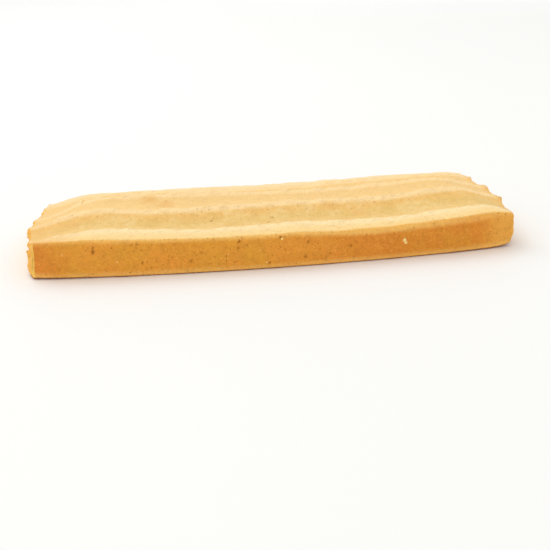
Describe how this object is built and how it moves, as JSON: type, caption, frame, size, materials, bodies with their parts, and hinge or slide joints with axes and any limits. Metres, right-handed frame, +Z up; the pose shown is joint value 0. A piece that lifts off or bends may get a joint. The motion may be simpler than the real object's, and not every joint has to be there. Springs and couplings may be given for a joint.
{
  "type": "ridged finger biscuit",
  "caption": "Long ridged butter biscuit baked as a single bar, with square cut crumbly ends, a crowned ridged top and a flat base to rest on.",
  "frame": {"origin": "under the middle of the base, on the surface the biscuit rests on", "axes": "+X along the ridges, +Y across them, +Z up out of the ridged top"},
  "size_m": [0.0998, 0.041, 0.0099],
  "materials": {
    "baked_crust": "matt golden baked crust"
  },
  "bodies": {
    "root": {"biscuit": "baked_crust"}
  },
  "joints": []
}
